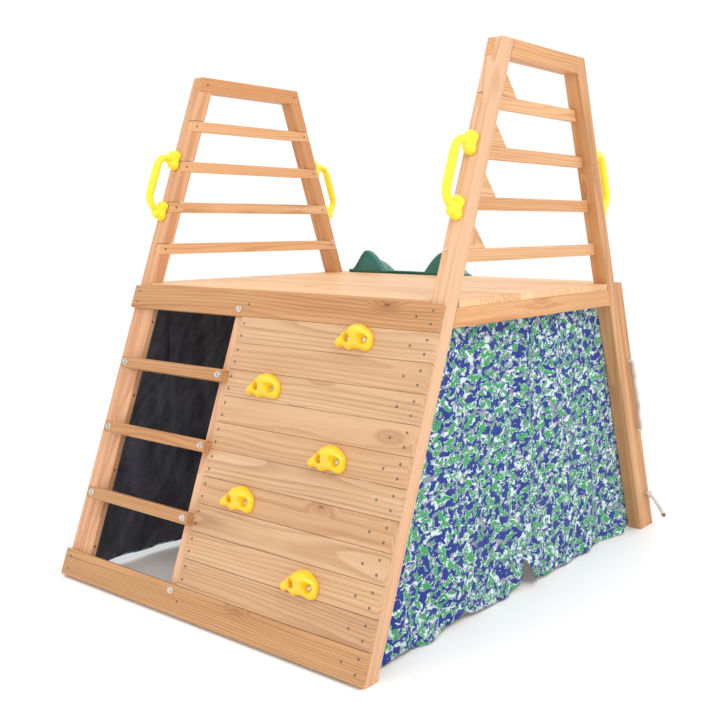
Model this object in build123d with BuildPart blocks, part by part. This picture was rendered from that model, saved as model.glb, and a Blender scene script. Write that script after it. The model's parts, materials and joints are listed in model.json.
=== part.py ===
"""Timber climbing tower: two leaning ladder frames, a deck, a plank climbing wall,
a step bay, fabric side walls, a rope ladder and a plastic slide.

The tower stands with its climbing wall towards -Y and its slide towards +Y.
+Z is up and Z = 0 is the ground. All sizes are in millimetres.
"""

from build123d import *
from math import atan, cos, pi, sin
import os

os.makedirs("parts", exist_ok=True)

# ---------------------------------------------------------------- driving dimensions
tower_width = 1247.0        # over the outer faces of the legs
tower_height = 1605.0
base_depth = 1630.0         # over the feet, front to rear
top_depth = 456.0           # over the two legs at the top
timber = 50.0               # square section of the legs, rails, beams and posts
deck_top = 916.5
deck_thickness = 19.5
slide_reach = 1165.0        # from the rear legs' feet to the end of the slide
tower_x = -31.0             # the tower's centre, placed so that the whole object, with its
tower_y = -577.0            # slide and its rope's tail, is centred over the origin

fit_gap = 0.3               # between neighbouring pieces
edge_ease = 2.5             # rounding of sawn timber edges
small_ease = 1.5

# ---------------------------------------------------------------- derived dimensions
half_width = tower_width / 2
half_base = base_depth / 2
inner_face = half_width - timber
lap_plane = half_width - timber / 2
lean_slope = (base_depth - top_depth) / 2 / tower_height
lean = atan(lean_slope)
deck_under = deck_top - deck_thickness



def spot(x, y, z):
    """Position of a point that is given from the tower's own centre."""
    return (tower_x + x, tower_y + y, z)


# The climbing wall and the front legs share one leaning face, and so do the rear legs.
# On both planes local Y runs up the slope and local Z points away from the tower.
front_face = Plane(
    origin=spot(0, -half_base, 0),
    x_dir=(1, 0, 0),
    z_dir=(0, -cos(lean), sin(lean)),
)
rear_face = Plane(
    origin=spot(0, half_base, 0),
    x_dir=(-1, 0, 0),
    z_dir=(0, cos(lean), sin(lean)),
)
# Side profiles are drawn here: local X is the tower's Y, local Y is its Z.
side_view = Plane(origin=spot(0, 0, 0), x_dir=(0, 1, 0), z_dir=(1, 0, 0))


def front_at(z, inward=0.0):
    """Y of the front leaning face at height z, moved inward at right angles to the face."""
    return -half_base + lean_slope * z + inward / cos(lean)


def rear_at(z, inward=0.0):
    """Y of the rear leaning face at height z, moved inward at right angles to the face."""
    return -front_at(z, inward)


def slope_length(z, proud=0.0):
    """Distance up a leaning face of a point that is at height z and stands proud of it."""
    return (z - proud * sin(lean)) / cos(lean)


def side_plane(x):
    """The side view, moved to the plane X = x."""
    return side_view.offset(x)


def save(piece, label):
    """Name a finished piece and write it to its own file."""
    piece.label = label
    export_step(piece, f"parts/{label}.step")


# ---------------------------------------------------------------- fasteners
screw_radius = 2.0
screw_head = 4.0
screw_length = 34.0
bolt_radius = 3.9
dome_radius = 10.5
dome_height = 4.5
nut_size = 13.0
nut_height = 6.5
pan_head_radius = 6.0
pan_head_height = 3.5
drill_gap = 0.15

plank_thickness = 15.0
stud_depth = 20.0
step_height = 36.0
step_depth = 38.0

with BuildPart() as countersunk_screw:
    with BuildSketch(Plane.XZ):
        Polygon(
            (0, -0.6),
            (screw_head, -0.6),
            (screw_head, -1.0),
            (screw_radius, -3.2),
            (screw_radius, 3 - screw_length),
            (0, -screw_length),
            align=None,
        )
    revolve(axis=Axis.Z)

with BuildPart() as countersunk_drill:
    with BuildSketch(Plane.XZ):
        Polygon(
            (0, 0.5),
            (screw_head + drill_gap, 0.5),
            (screw_head + drill_gap, -1.1),
            (screw_radius + drill_gap, -3.4),
            (screw_radius + drill_gap, -screw_length - drill_gap),
            (0, -screw_length - drill_gap),
            align=None,
        )
    revolve(axis=Axis.Z)

pan_screw_length = 36.0
with BuildPart() as pan_screw:
    with BuildSketch(Plane.XZ):
        with BuildLine():
            Line((0, pan_head_height), (2, pan_head_height))
            ThreePointArc((2, pan_head_height), (pan_head_radius - 0.8, 2.4), (pan_head_radius, 0))
            Polyline(
                (pan_head_radius, 0),
                (screw_radius, 0),
                (screw_radius, 4 - pan_screw_length),
                (0, -pan_screw_length),
                (0, pan_head_height),
            )
        make_face()
    revolve(axis=Axis.Z)


def dome_bolt(grip):
    """Dome-headed bolt with its nut, which clamps a stack of the given thickness."""
    with BuildPart() as bolt:
        with BuildSketch(Plane.XZ):
            with BuildLine():
                ThreePointArc((0, dome_height), (6.6, 3.2), (dome_radius, 0.8))
                Polyline(
                    (dome_radius, 0.8),
                    (dome_radius, 0),
                    (bolt_radius, 0),
                    (bolt_radius, -grip - nut_height - 3),
                    (0, -grip - nut_height - 3),
                    (0, dome_height),
                )
            make_face()
        revolve(axis=Axis.Z)
    with BuildPart(Plane.XY.offset(-grip - nut_height)) as nut:
        with BuildSketch():
            RegularPolygon(nut_size / 2, 6, major_radius=False)
        extrude(amount=nut_height - 0.1)
        Hole(bolt_radius + 0.05)
    return [bolt.part, nut.part]


def bore(radius, depth):
    """Cylinder that runs down from just above local Z = 0, for drilling."""
    with BuildPart() as tool:
        with BuildSketch(Plane.XY.offset(1)):
            Circle(radius)
        extrude(amount=-depth - 1)
    return tool.part


def on_plane(plane, u, v, w, shape):
    """Copy of a shape, stood on the plane at (u, v) and raised by w."""
    return plane.location * Pos(u, v, w) * shape


wood_screws = []
screw_drills = []
coach_bolts = []
bolt_drills = []
handle_screws = []


def drive_screw(plane, u, v, w):
    """Countersunk screw driven square into the plane from height w."""
    wood_screws.append(on_plane(plane, u, v, w, countersunk_screw.part))
    screw_drills.append(on_plane(plane, u, v, w, countersunk_drill.part))


def counterbore(plane, u, v, w, depth):
    """Hole that sinks a screw's head below height w."""
    bolt_drills.append(on_plane(plane, u, v, w, bore(screw_head + 0.6, depth)))


def fit_bolt(plane, u, v, w, grip):
    """Dome bolt through a stack of the given thickness, from height w."""
    for piece in dome_bolt(grip):
        coach_bolts.append(on_plane(plane, u, v, w, piece))
    bolt_drills.append(on_plane(plane, u, v, w, bore(bolt_radius + drill_gap, grip + 12)))


# Climbing wall boards, measured up the slope from the ground line.
wall_left = -88.0
wall_right = half_width
stud_left = -133.0
stud_width = 70.0
board_gap = 0.8
kick_bottom = 5.2
kick_top = 88.4
plank_count = 10
fascia_bottom = 888.4
fascia_top = 964.0
plank_pitch = (fascia_bottom - kick_top) / plank_count
leg_screw_x = lap_plane
stringer_screw_x = inner_face - 25
stud_screw_x = wall_left + 15

for row in range(plank_count):
    row_bottom = kick_top + row * plank_pitch
    for fraction in (0.27, 0.73):
        drive_screw(front_face, leg_screw_x, row_bottom + fraction * plank_pitch, plank_thickness)
        drive_screw(front_face, stud_screw_x, row_bottom + fraction * plank_pitch, plank_thickness)
    drive_screw(front_face, stringer_screw_x, row_bottom + 0.5 * plank_pitch, plank_thickness)

for board_bottom, board_top in ((kick_bottom, kick_top), (fascia_bottom, fascia_top)):
    board_height = board_top - board_bottom
    for fraction in (0.28, 0.74):
        for x in (leg_screw_x, -leg_screw_x):
            drive_screw(front_face, x, board_bottom + fraction * board_height, plank_thickness)
    for x in (stringer_screw_x, stud_screw_x):
        drive_screw(front_face, x, board_bottom + 0.5 * board_height, plank_thickness)

# Steps of the bay beside the climbing wall.
step_pitch = 212.4
first_step = 277.9          # centre of the lowest step, up the slope
step_left = -568.0
step_right = wall_left - 0.5
step_centres = [first_step + n * step_pitch for n in range(3)]
bolt_inset = 20.0
for centre in step_centres:
    for x in (step_left + bolt_inset, step_right - bolt_inset):
        fit_bolt(front_face, x, centre, step_depth, step_depth + stud_depth)
bay_bolt_x = stud_left + 22
bay_bolt_heights = (71, 860)
for z in bay_bolt_heights:
    board_bolt_v = slope_length(z, plank_thickness)
    fit_bolt(front_face, bay_bolt_x, board_bolt_v, plank_thickness, plank_thickness + stud_depth)

# Stringers are screwed sideways to the legs.
stringer_width = 49.7
stringer_screw_heights = (103, 333, 563, 794)
stringer_bore = 32.0
for z in stringer_screw_heights:
    level = front_at(z, stud_depth / 2)
    for side in (1, -1):
        edge = Plane(
            origin=spot(side * (inner_face - stringer_width), level, z), x_dir=(0, 1, 0), z_dir=(-side, 0, 0)
        )
        counterbore(edge, 0, 0, 0, stringer_bore)
        drive_screw(edge, 0, 0, -stringer_bore)

# Rungs and top rails are screwed to the legs from the inside of the tower.
rung_tops = (1455.8, 1319.2, 1182.8, 1045.0)
rung_height = 35.0
rung_thickness = 20.0
rail_height = 49.5
rail_bottom = tower_height - rail_height
for side in (1, -1):
    for z in [top - rung_height / 2 for top in rung_tops] + [rail_bottom + rail_height / 2]:
        for y in (front_at(z, timber / 2), rear_at(z, timber / 2)):
            inner = Plane(origin=spot(side * inner_face, y, z), x_dir=(0, 1, 0), z_dir=(-side, 0, 0))
            drive_screw(inner, 0, 0, 0)

# Deck boards: the first is notched round the front legs, the last lies between the posts.
deck_front = front_at(deck_top) + 1.5
notch_depth_y = front_at(deck_top, timber) + 1.5
deck_first_joint = -298.5
deck_last_joint = rear_at(deck_top, timber) - 0.8
deck_rear = 553.0
deck_gap = 1.6
middle_boards = 8
deck_pitch = (deck_last_joint - deck_first_joint) / middle_boards
joist_left = stud_left + 12
joist_width = 45.0
joist_x = joist_left + joist_width / 2
deck_level = Plane(origin=spot(0, 0, deck_top), x_dir=(1, 0, 0), z_dir=(0, 0, 1))
deck_rows = [deck_first_joint + (n + f) * deck_pitch for n in range(middle_boards) for f in (0.28, 0.72)]
deck_rows += [notch_depth_y + 25, deck_first_joint - 25]
for y in deck_rows:
    for x in (-lap_plane, joist_x, lap_plane):
        drive_screw(deck_level, x, y, 0)

# Hand grips on the leaning faces of the four legs.
grip_low = 1190.0
grip_high = 1437.0
grip_lobe = 17.0
grip_lobe_gap = 31.0
grip_pad = 9.0
grip_screw_rows = (
    grip_low + grip_lobe,
    grip_low + grip_lobe + grip_lobe_gap,
    grip_high - grip_lobe - grip_lobe_gap,
    grip_high - grip_lobe,
)
for plane in (front_face, rear_face):
    for x in (-lap_plane, lap_plane):
        for v in grip_screw_rows:
            grip_bore = bore(screw_radius + drill_gap, pan_screw_length + 1)
            handle_screws.append(on_plane(plane, x, v, grip_pad + fit_gap, pan_screw.part))
            bolt_drills.append(on_plane(plane, x, v, grip_pad, grip_bore))

# Rear posts stand on the rear faces of the rear legs and carry the rope ladder.
post_middle_x = 75.0
rope_radius = 7.0
rope_hole_radius = 8.0
rope_depth = 30.0           # rope centre behind the rear legs' face
rope_heights = (130.0, 384.0, 643.0)
rope_holes = []
for z in rope_heights:
    for x in (lap_plane, post_middle_x):
        post_side = Plane(
            origin=spot(x + timber / 2, rear_at(z, -rope_depth), z), x_dir=(0, 1, 0), z_dir=(1, 0, 0)
        )
        rope_holes.append(on_plane(post_side, 0, 0, 0, bore(rope_hole_radius, timber + 5)))

# Posts are screwed to the legs from behind, and the middle one to the header.
post_screws = (230.0, 540.0, 800.0)
header_screw_heights = (858.0, 882.0)
post_bore = 26.0
post_screw_places = [(x, v) for x in (-lap_plane, lap_plane) for v in post_screws]
post_screw_places += [(-post_middle_x, slope_length(z)) for z in header_screw_heights]
for x, v in post_screw_places:
    counterbore(rear_face, x, v, timber, post_bore)
    drive_screw(rear_face, x, v, timber - post_bore)

# Climbing holds: (X, distance up the slope) of each centre.
hold_length = 126.0
hold_height = 70.0
hold_proud = 40.0
hold_places = ((364, 858.0), (72, 693.5), (364, 527.5), (74, 370.5), (366, 200.5))
hold_bolt_offsets = (-14.0, 40.0)
hold_bolt_drop = 7.0
hold_seat = 8.0              # bolt heads sit this far off the planks, in deep recesses
hold_bolts = []
with BuildPart() as hold_bolt:
    with BuildSketch(Plane.XY.offset(hold_seat)):
        Circle(6.5)
    extrude(amount=4)
    with BuildSketch(Plane.XY.offset(hold_seat)):
        Circle(3.0)
    extrude(amount=-hold_seat - plank_thickness - 4)
    with BuildSketch(Plane.XY.offset(-plank_thickness - 2.2)):
        Circle(9)
        Circle(3.0, mode=Mode.SUBTRACT)
    extrude(amount=2)
hold_sockets = []
with BuildPart() as hold_socket:
    with BuildSketch(Plane.XY.offset(hold_seat - 0.1)):
        Circle(9)
    extrude(amount=hold_proud)
    with BuildSketch(Plane.XY.offset(hold_seat)):
        Circle(3.2)
    extrude(amount=-hold_proud)
for x, v in hold_places:
    bolt_v = v - hold_bolt_drop
    for du in hold_bolt_offsets:
        hold_bolts.append(on_plane(front_face, x + du, bolt_v, plank_thickness, hold_bolt.part))
        hold_sockets.append(on_plane(front_face, x + du, bolt_v, plank_thickness, hold_socket.part))


def near(piece, tools):
    """The drilling tools whose boxes touch the box of a piece."""
    box = piece.bounding_box()
    picked = []
    for tool in tools:
        other = tool.bounding_box()
        apart = (
            other.min.X > box.max.X or other.max.X < box.min.X
            or other.min.Y > box.max.Y or other.max.Y < box.min.Y
            or other.min.Z > box.max.Z or other.max.Z < box.min.Z
        )
        if not apart:
            picked.append(tool)
    return picked


def drill(builder):
    """Cut every screw, bolt and rope hole that reaches the piece being built."""
    tools = near(builder.part, screw_drills + bolt_drills + hold_sockets + rope_holes)
    if tools:
        add(tools, mode=Mode.SUBTRACT)


# ---------------------------------------------------------------- legs
def leg_outline(face_at):
    """Side profile of a leaning leg, from the ground to the top of the tower."""
    return (
        (face_at(0), 0),
        (face_at(0, timber), 0),
        (face_at(tower_height, timber), tower_height),
        (face_at(tower_height), tower_height),
    )


def make_leg(label, side, face_at):
    """Leg with four rung housings in its inner face and a half lap at its top."""
    inner = side_plane(side * inner_face)
    with BuildPart() as leg:
        with BuildSketch(inner):
            Polygon(*leg_outline(face_at), align=None)
        extrude(amount=side * timber)
        long_edges = leg.edges().filter_by(lambda e: abs(e.length - tower_height / cos(lean)) < 5)
        fillet(long_edges, edge_ease)
        # Half lap for the top rail.
        with BuildSketch(side_plane(side * (inner_face - 1))):
            with Locations((0, rail_bottom + 50)):
                Rectangle(base_depth, 100)
        extrude(amount=side * (timber / 2 + 1 + fit_gap / 2), mode=Mode.SUBTRACT)
        # Rung housings, a little taller than the rungs.
        with BuildSketch(side_plane(side * (inner_face - 1))):
            for top in rung_tops:
                with Locations((0, top - rung_height / 2 + 0.7)):
                    Rectangle(base_depth, rung_height + 1.8)
        extrude(amount=side * (rung_thickness + 1 + fit_gap), mode=Mode.SUBTRACT)
        drill(leg)
    save(leg.part, label)


make_leg("leg_front_left", -1, front_at)
make_leg("leg_front_right", 1, front_at)
make_leg("leg_rear_left", -1, rear_at)
make_leg("leg_rear_right", 1, rear_at)


# ---------------------------------------------------------------- top rails and rungs
def level_bar(bottom, top, inset):
    """Side profile of a level bar that ends parallel to the leaning faces."""
    return (
        (front_at(bottom, inset), bottom),
        (rear_at(bottom, inset), bottom),
        (rear_at(top, inset), top),
        (front_at(top, inset), top),
    )


for side, name in ((-1, "left"), (1, "right")):
    with BuildPart() as rail:
        with BuildSketch(side_plane(side * inner_face)):
            Polygon(*level_bar(rail_bottom + fit_gap / 2, tower_height, 0.5), align=None)
        extrude(amount=side * (timber / 2 - fit_gap / 2))
        with BuildSketch(side_plane(side * (lap_plane - 1))):
            Polygon(*level_bar(rail_bottom + fit_gap / 2, tower_height, timber + 1.6), align=None)
        extrude(amount=side * (timber / 2 + 1))
        fillet(rail.edges().filter_by(Axis.Y), small_ease)
        drill(rail)
    save(rail.part, f"top_rail_{name}")

for side, name in ((-1, "left"), (1, "right")):
    for index, top in enumerate(rung_tops):
        with BuildPart() as rung:
            with BuildSketch(side_plane(side * inner_face)):
                Polygon(*level_bar(top - rung_height, top, 1.8), align=None)
            extrude(amount=side * rung_thickness)
            fillet(rung.edges().filter_by(Axis.Y), small_ease)
            drill(rung)
        save(rung.part, f"rung_{name}_{index + 1}")

# Triangular blocks brace the right frame's rungs to its front leg.
gusset_base = 122.0
gusset_rise = 97.0
with BuildPart() as gussets:
    for top in rung_tops:
        foot = top + fit_gap
        with BuildSketch(side_plane(inner_face)):
            Polygon(
                (front_at(foot, timber + fit_gap), foot),
                (front_at(foot, timber) + gusset_base, foot),
                (front_at(foot + gusset_rise, timber + fit_gap), foot + gusset_rise),
                align=None,
            )
    extrude(amount=rung_thickness)
    fillet(gussets.edges().filter_by(lambda e: e.length > rung_thickness + 1), 1.0)
save(gussets.part, "gussets")

# ---------------------------------------------------------------- deck frame
beam_bottom = 844.0
beam_top = deck_under - 0.2
for side, name in ((-1, "left"), (1, "right")):
    with BuildPart() as beam:
        with BuildSketch(side_plane(side * inner_face)):
            Polygon(*level_bar(beam_bottom, beam_top, timber + fit_gap), align=None)
        extrude(amount=side * timber)
        fillet(beam.edges().filter_by(Axis.Y), small_ease)
        drill(beam)
    save(beam.part, f"rim_beam_{name}")

header_depth = 40.0
header_half = inner_face - 3.5
with BuildPart() as header:
    with BuildSketch(side_plane(-header_half)):
        Polygon(
            (rear_at(beam_bottom, fit_gap), beam_bottom),
            (rear_at(beam_top, fit_gap), beam_top),
            (rear_at(beam_top, header_depth), beam_top),
            (rear_at(beam_bottom, header_depth), beam_bottom),
            align=None,
        )
    extrude(amount=2 * header_half)
    drill(header)
save(header.part, "rear_header")

with BuildPart() as joist:
    with BuildSketch(side_plane(joist_left)):
        Polygon(
            (front_at(beam_bottom, stud_depth + 9), beam_bottom),
            (rear_at(beam_bottom, header_depth + fit_gap), beam_bottom),
            (rear_at(beam_top, header_depth + fit_gap), beam_top),
            (front_at(beam_top, stud_depth + 9), beam_top),
            align=None,
        )
    extrude(amount=joist_width)
    drill(joist)
save(joist.part, "deck_joist")


# ---------------------------------------------------------------- deck boards
def make_deck_board(label, near_y, far_y, half_length, notch_y=None):
    """Deck board along X. With notch_y, its front corners are cut away round the legs."""
    with BuildPart() as board:
        with BuildSketch(Plane(origin=spot(0, 0, deck_under), z_dir=(0, 0, 1))):
            with Locations((0, (near_y + far_y) / 2)):
                Rectangle(2 * half_length, far_y - near_y)
            if notch_y is not None:
                notch_width = timber + 4
                for side in (-1, 1):
                    with Locations((side * (half_width - notch_width / 2 + 2), (near_y + notch_y) / 2 - 1)):
                        Rectangle(notch_width, notch_y - near_y + 2, mode=Mode.SUBTRACT)
        extrude(amount=deck_thickness)
        fillet(board.edges().filter_by(Axis.X).group_by(Axis.Z)[-1], small_ease)
        drill(board)
    save(board.part, label)


make_deck_board("deck_board_01", deck_front, deck_first_joint - deck_gap / 2, half_width, notch_depth_y)
for index in range(middle_boards):
    start = deck_first_joint + index * deck_pitch
    make_deck_board(
        f"deck_board_{index + 2:02d}",
        start + deck_gap / 2,
        start + deck_pitch - deck_gap / 2,
        half_width,
    )
make_deck_board("deck_board_10", deck_last_joint + deck_gap, deck_rear, inner_face - 1.5)


# ---------------------------------------------------------------- climbing wall
def make_wall_board(label, left, right, bottom, top, ease):
    """Board on the front face: left and right in X, bottom and top up the slope."""
    with BuildPart() as board:
        with BuildSketch(front_face.offset(fit_gap / 2)):
            with Locations(((left + right) / 2, (bottom + top) / 2)):
                Rectangle(right - left, top - bottom)
        extrude(amount=plank_thickness - fit_gap / 2)
        fillet(board.faces().sort_by(lambda f: f.center().Y)[0].edges(), ease)
        drill(board)
    save(board.part, label)


make_wall_board("kick_board", -half_width - 2.5, half_width, kick_bottom, kick_top - board_gap, 4.0)
for row in range(plank_count):
    low = kick_top + row * plank_pitch
    make_wall_board(f"wall_plank_{row + 1:02d}", wall_left, wall_right, low, low + plank_pitch - board_gap, 2.0)
make_wall_board("fascia_board", -half_width, half_width, fascia_bottom, fascia_top, 2.5)


def make_upright(label, left, width):
    """Upright behind the wall boards, from just above the ground to the deck."""
    with BuildPart() as upright:
        with BuildSketch(side_plane(left)):
            Polygon(
                (front_at(4, 0), 4),
                (front_at(4, stud_depth), 4),
                (front_at(beam_top, stud_depth), beam_top),
                (front_at(beam_top, 0), beam_top),
                align=None,
            )
        extrude(amount=width)
        fillet(upright.edges().filter_by(lambda e: e.length > 800), small_ease)
        drill(upright)
    save(upright.part, label)


make_upright("stringer_left", -inner_face + fit_gap, stringer_width)
make_upright("stud_middle", stud_left, stud_width)
make_upright("stringer_right", inner_face - fit_gap - stringer_width, stringer_width)

for index, centre in enumerate(step_centres):
    with BuildPart() as step:
        with BuildSketch(front_face.offset(fit_gap / 2)):
            with Locations(((step_left + step_right) / 2, centre)):
                Rectangle(step_right - step_left, step_height)
        extrude(amount=step_depth - fit_gap / 2)
        fillet(step.edges().filter_by(Axis.X), 3.0)
        drill(step)
    save(step.part, f"step_{index + 1}")

# ---------------------------------------------------------------- rear posts
post_heights = {"left": deck_top, "middle": beam_top, "right": deck_top}
post_places = {"left": -lap_plane, "middle": post_middle_x, "right": lap_plane}
for name, x in post_places.items():
    top = post_heights[name]
    with BuildPart() as post:
        with BuildSketch(side_plane(x - timber / 2)):
            Polygon(
                (rear_at(0, -fit_gap), 0),
                (rear_at(0, -timber), 0),
                (rear_at(top, -timber), top),
                (rear_at(top, -fit_gap), top),
                align=None,
            )
        extrude(amount=timber)
        fillet(post.edges().filter_by(lambda e: e.length > 800), edge_ease)
        drill(post)
    save(post.part, f"rear_post_{name}")

# ---------------------------------------------------------------- fabric walls
fabric_thickness = 2.4
hem_height = 12.0
fabric_top = 888.0
flap_apex = 91.0
flap_front = -41.0
flap_rear = 35.0
stringer_clearance = 4.0
for side, name in ((-1, "left"), (1, "right")):
    front_inset = stud_depth + stringer_clearance
    rear_inset = 14.0
    outline = [
        (front_at(hem_height, front_inset), hem_height),
        (rear_at(hem_height, rear_inset), hem_height),
        (rear_at(fabric_top, rear_inset), fabric_top),
        (front_at(fabric_top, front_inset), fabric_top),
    ]
    with BuildPart() as curtain:
        with BuildSketch(side_plane(side * (inner_face - fit_gap))):
            Polygon(*outline, align=None)
            if name == "right":
                Polygon(
                    (flap_front, hem_height),
                    (flap_rear, hem_height),
                    (0, flap_apex),
                    align=None,
                    mode=Mode.SUBTRACT,
                )
        extrude(amount=-side * fabric_thickness)
    save(curtain.part, f"fabric_wall_{name}")

# ---------------------------------------------------------------- hand grips
grip_bar = 12.5
grip_reach = 70.0           # centre of the bar in front of the leg
grip_path_points = (
    (0, grip_high - 31, 4),
    (0, grip_high - 36, 44),
    (0, grip_high - 74, grip_reach),
    (0, grip_low + 62, grip_reach - 2),
    (0, grip_low + 30, 42),
    (0, grip_low + 26, 4),
)
with BuildPart() as grip:
    with BuildLine(Plane.XY):
        grip_path = FilletPolyline(*grip_path_points, radius=18)
    with BuildSketch(Plane(origin=grip_path @ 0, z_dir=grip_path % 0)):
        Circle(grip_bar)
    sweep(path=grip_path)
    with BuildSketch(Plane.XY):
        for low_lobe in (grip_low + grip_lobe, grip_high - grip_lobe - grip_lobe_gap):
            with Locations((0, low_lobe + grip_lobe_gap / 2)):
                SlotCenterToCenter(grip_lobe_gap, 2 * grip_lobe, rotation=90)
    extrude(amount=grip_pad)
    with BuildSketch(Plane.XY):
        Rectangle(200, 4000)
    extrude(amount=-40, mode=Mode.SUBTRACT)
    with BuildSketch(Plane.XY.offset(grip_pad)):
        with Locations(*[(0, v) for v in grip_screw_rows]):
            Circle(pan_head_radius + 0.4)
    extrude(amount=30, mode=Mode.SUBTRACT)
    with BuildSketch(Plane.XY):
        with Locations(*[(0, v) for v in grip_screw_rows]):
            Circle(screw_radius + drill_gap)
    extrude(amount=30, mode=Mode.SUBTRACT)
grips = []
for plane in (front_face, rear_face):
    for x in (-lap_plane, lap_plane):
        grips.append(on_plane(plane, x, 0, fit_gap / 2, grip.part))
save(Compound(children=grips), "hand_grips")
save(Compound(children=handle_screws), "pan_head_screws")

# ---------------------------------------------------------------- climbing holds
with BuildPart() as hold:
    with BuildSketch(Plane.XY):
        Ellipse(hold_length / 2, hold_height / 2)
    with BuildSketch(Plane.XY.offset(0.55 * hold_proud)):
        with Locations((4, 2)):
            Ellipse(0.42 * hold_length, 0.42 * hold_height)
    with BuildSketch(Plane.XY.offset(hold_proud)):
        with Locations((9, 6)):
            Ellipse(0.2 * hold_length, 0.2 * hold_height)
    loft(ruled=False)
holds = []
for x, v in hold_places:
    with BuildPart() as placed_hold:
        add(on_plane(front_face, x, v, plank_thickness + fit_gap / 2, hold.part))
        add(near(placed_hold.part, hold_sockets), mode=Mode.SUBTRACT)
    holds.append(placed_hold.part)
save(Compound(children=holds), "climbing_holds")
save(Compound(children=hold_bolts), "hold_bolts")

# ---------------------------------------------------------------- slide
slide_x = -280.0
slide_half = 275.0
slide_skin = 8.0
rail_peak_x = 190.0
rail_rise = 45.0             # height of the two rails along the chute
shoulder_rise = 80.0         # and of the closed domes that they start from
shoulder_depth = 34.0
chute_half = 102.0
rail_foot_run = 0.6           # run over drop of a rail's inner flank at its foot
slide_start = 500.0
slide_lip = 574.0
slide_top = deck_top + slide_skin + 1.0
slide_end = half_base + slide_reach
run_out = 240.0
run_out_height = 92.0
top_bend = 65.0
bottom_bend = 320.0


def slide_surface(rise, drop):
    """Cross-section line of the slide: two bell-shaped rails beside a flat chute."""
    for side in (-1, 1):
        Spline(
            (side * slide_half, -drop),
            (side * rail_peak_x, rise - drop),
            (side * chute_half, -drop),
            tangents=((-side, 0), (-side, 0), (-side * rail_foot_run, -1)),
        )
    Line((-chute_half, -drop), (chute_half, -drop))


def slide_shell(rise):
    """Outline of the slide's moulded skin in cross-section."""
    slide_surface(rise, 0)
    slide_surface(rise, slide_skin)
    for side in (-1, 1):
        Line((side * slide_half, 0), (side * slide_half, -slide_skin))


def slide_end_wall():
    """Outline of the wall that shuts the domes."""
    slide_surface(shoulder_rise, 0)
    Polyline(
        (-slide_half, 0),
        (-slide_half, -slide_skin),
        (slide_half, -slide_skin),
        (slide_half, 0),
    )


slide_side = side_plane(slide_x)
start_plane = Plane(origin=spot(slide_x, slide_start, slide_top), x_dir=(1, 0, 0), z_dir=(0, -1, 0))
with BuildPart() as slide:
    with BuildLine(slide_side):
        slide_path = FilletPolyline(
            (slide_start, slide_top),
            (slide_lip, slide_top),
            (slide_end - run_out, run_out_height),
            (slide_end, run_out_height),
            radius=[top_bend, bottom_bend],
        )
    with BuildSketch(start_plane):
        with BuildLine():
            slide_shell(rail_rise)
        make_face()
    sweep(path=slide_path)
    with BuildSketch(start_plane):
        with BuildLine():
            slide_shell(shoulder_rise)
        make_face()
    extrude(amount=-shoulder_depth)
    with BuildSketch(start_plane):
        with BuildLine():
            slide_end_wall()
        make_face()
    extrude(amount=-slide_skin)
    with BuildSketch(start_plane.offset(slide_skin - shoulder_depth)):
        with BuildLine():
            slide_end_wall()
        make_face()
    extrude(amount=-slide_skin)
    foot_depth = 45.0
    with BuildSketch(Plane(origin=spot(slide_x, slide_end - foot_depth / 2, 0), z_dir=(0, 0, 1))):
        Rectangle(2 * slide_half, foot_depth)
        Rectangle(2 * slide_half - 40, foot_depth - 16, mode=Mode.SUBTRACT)
    extrude(amount=run_out_height - slide_skin / 2)
save(slide.part, "slide")

# ---------------------------------------------------------------- rope ladder
# One rope is knotted outside the right post, crosses to the middle post, goes up beside it
# to the next holes, comes back, goes up outside the right post, crosses again and is knotted.
bight = 13.0                # how far the rope's centre stands off a post between two holes
rope_bend = 12.5
left_turn = post_middle_x - timber / 2 - bight
right_turn = half_width + bight
low_z, mid_z, high_z = rope_heights
tail_out = 43.0
tail_drop = 80.0


def rope_point(x, z):
    """Point of the rope's route in the plane of the holes."""
    return spot(x, rear_at(z, -rope_depth), z)


rope_route = [
    spot(right_turn + tail_out, rear_at(low_z, -rope_depth), low_z - tail_drop),
    rope_point(right_turn + 4, low_z),
    rope_point(left_turn, low_z),
    rope_point(left_turn, mid_z),
    rope_point(right_turn, mid_z),
    rope_point(right_turn, high_z),
    rope_point(left_turn, high_z),
    rope_point(left_turn + 2, high_z - 60),
]
rope_radii = [rope_bend] * (len(rope_route) - 2)
print("rope bend radii, mm:", rope_radii)
with BuildPart() as rope:
    with BuildLine():
        rope_path = FilletPolyline(*rope_route, radius=rope_radii)
    with BuildSketch(Plane(origin=rope_path @ 0, z_dir=rope_path % 0)):
        Circle(rope_radius)
    sweep(path=rope_path)
    for x in (half_width + 12, post_middle_x - timber / 2 - 12):
        knot_z = low_z if x > half_width else high_z
        with Locations(rope_point(x, knot_z)):
            Sphere(11)
rope_length = rope_path.length
print("rope length, mm:", round(rope_length))
rope_tube = pi * rope_radius**2 * rope_length
print("rope volume over section times length:", round(rope.part.volume / rope_tube, 4))
save(rope.part, "rope")

# ---------------------------------------------------------------- fastener groups
save(Compound(children=wood_screws), "wood_screws")
save(Compound(children=coach_bolts), "coach_bolts")
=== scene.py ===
"""Looks of the timber climbing tower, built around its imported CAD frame. Units are metres."""
import json
from math import atan, cos, exp, sin, tau

import bmesh
import bpy
import numpy as np
from mathutils import Matrix, Vector, noise


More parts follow.
